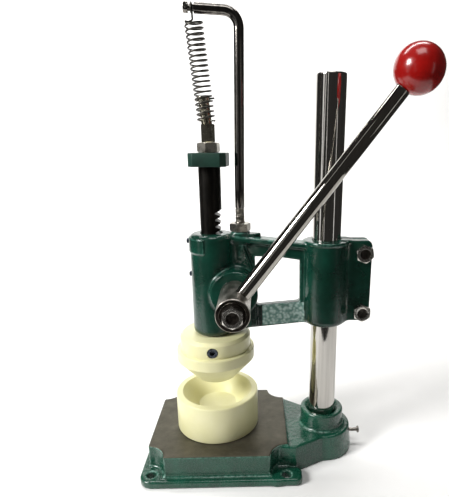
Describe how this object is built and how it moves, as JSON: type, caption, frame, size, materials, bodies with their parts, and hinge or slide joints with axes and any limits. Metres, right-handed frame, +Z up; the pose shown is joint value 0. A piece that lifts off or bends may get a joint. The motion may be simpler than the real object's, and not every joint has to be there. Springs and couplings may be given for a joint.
{
  "type": "tartlet shell press",
  "caption": "Hand press for forming tartlet shells: cast base with nylon cup, round column, clamped cast arm, rack-and-pinion ram with nylon plunger, lever with ball knob and return spring.",
  "frame": {"origin": "on the column's axis, at the underside of the base", "axes": "+Z up along the column; +X from the cup towards the column and past it; -Y towards the lever's hub and the viewer"},
  "size_m": [0.2664, 0.1578, 0.4423],
  "materials": {
    "green_enamel": "hammered green enamel on cast iron, gloss",
    "cream_nylon": "turned cream nylon",
    "chrome_plate": "chrome plate on ground steel",
    "turned_steel": "bare turned steel",
    "bright_steel": "bright zinc-plated steel",
    "oiled_steel": "black oiled steel",
    "black_steel": "blackened steel, satin",
    "bronze": "bearing bronze",
    "red_ball": "glossy red plastic"
  },
  "bodies": {
    "base": {"base_casting": "green_enamel", "lower_die": "cream_nylon", "lower_die_bolt": "bright_steel", "lower_die_washer": "bright_steel", "column_set_screw": "bright_steel"},
    "column": {"column": "chrome_plate"},
    "arm": {"arm_casting": "green_enamel", "clamp_bolt_lower": "bright_steel", "clamp_bolt_upper": "bright_steel", "clamp_washer_lower": "bright_steel", "clamp_washer_upper": "bright_steel", "clamp_nut_lower": "bright_steel", "clamp_nut_upper": "bright_steel", "front_bush": "bronze", "rear_bush": "bronze", "gib_screw_lower": "bright_steel", "gib_screw_upper": "bright_steel", "gib_plug": "bronze", "spring_hanger": "black_steel", "hanger_nut": "bright_steel"},
    "lever": {"pinion_shaft": "bright_steel", "rear_washer": "bright_steel", "rear_clip": "black_steel", "handle_hub": "turned_steel", "hub_washer": "black_steel", "hub_bolt": "bright_steel", "handle_rod": "chrome_plate", "ball_knob": "red_ball"},
    "ram": {"ram": "oiled_steel", "upper_die": "cream_nylon", "die_screw": "bright_steel", "stop_collar": "green_enamel", "collar_nut": "bright_steel", "spring_stud": "bright_steel", "spring_pin": "bright_steel", "return_spring": "bright_steel"}
  },
  "joints": [
    {"name": "column_swivel", "type": "hinge", "parent": "base", "child": "column", "pos_m": [0, 0, 0], "axis": [0, 0, 1], "range_deg": [-90, 90]},
    {"name": "arm_height", "type": "slide", "parent": "column", "child": "arm", "axis": [0, 0, 1], "range_m": [0, 0.14]},
    {"name": "lever_turn", "type": "hinge", "parent": "arm", "child": "lever", "pos_m": [-0.09, 0, 0.1845], "axis": [0, -1, 0], "range_deg": [0, 112.5], "stiffness_Nm_per_rad": 0.334, "springref_deg": -143.81},
    {"name": "ram_slide", "type": "slide", "parent": "arm", "child": "ram", "axis": [0, 0, -1], "range_m": [0, 0.0315], "stiffness_N_per_m": 60, "springref_m": -0.143, "deforming": ["return_spring"]}
  ],
  "couplings": [
    {"joint": "ram_slide", "follows": "lever_turn", "m_per_rad": 0.016}
  ]
}
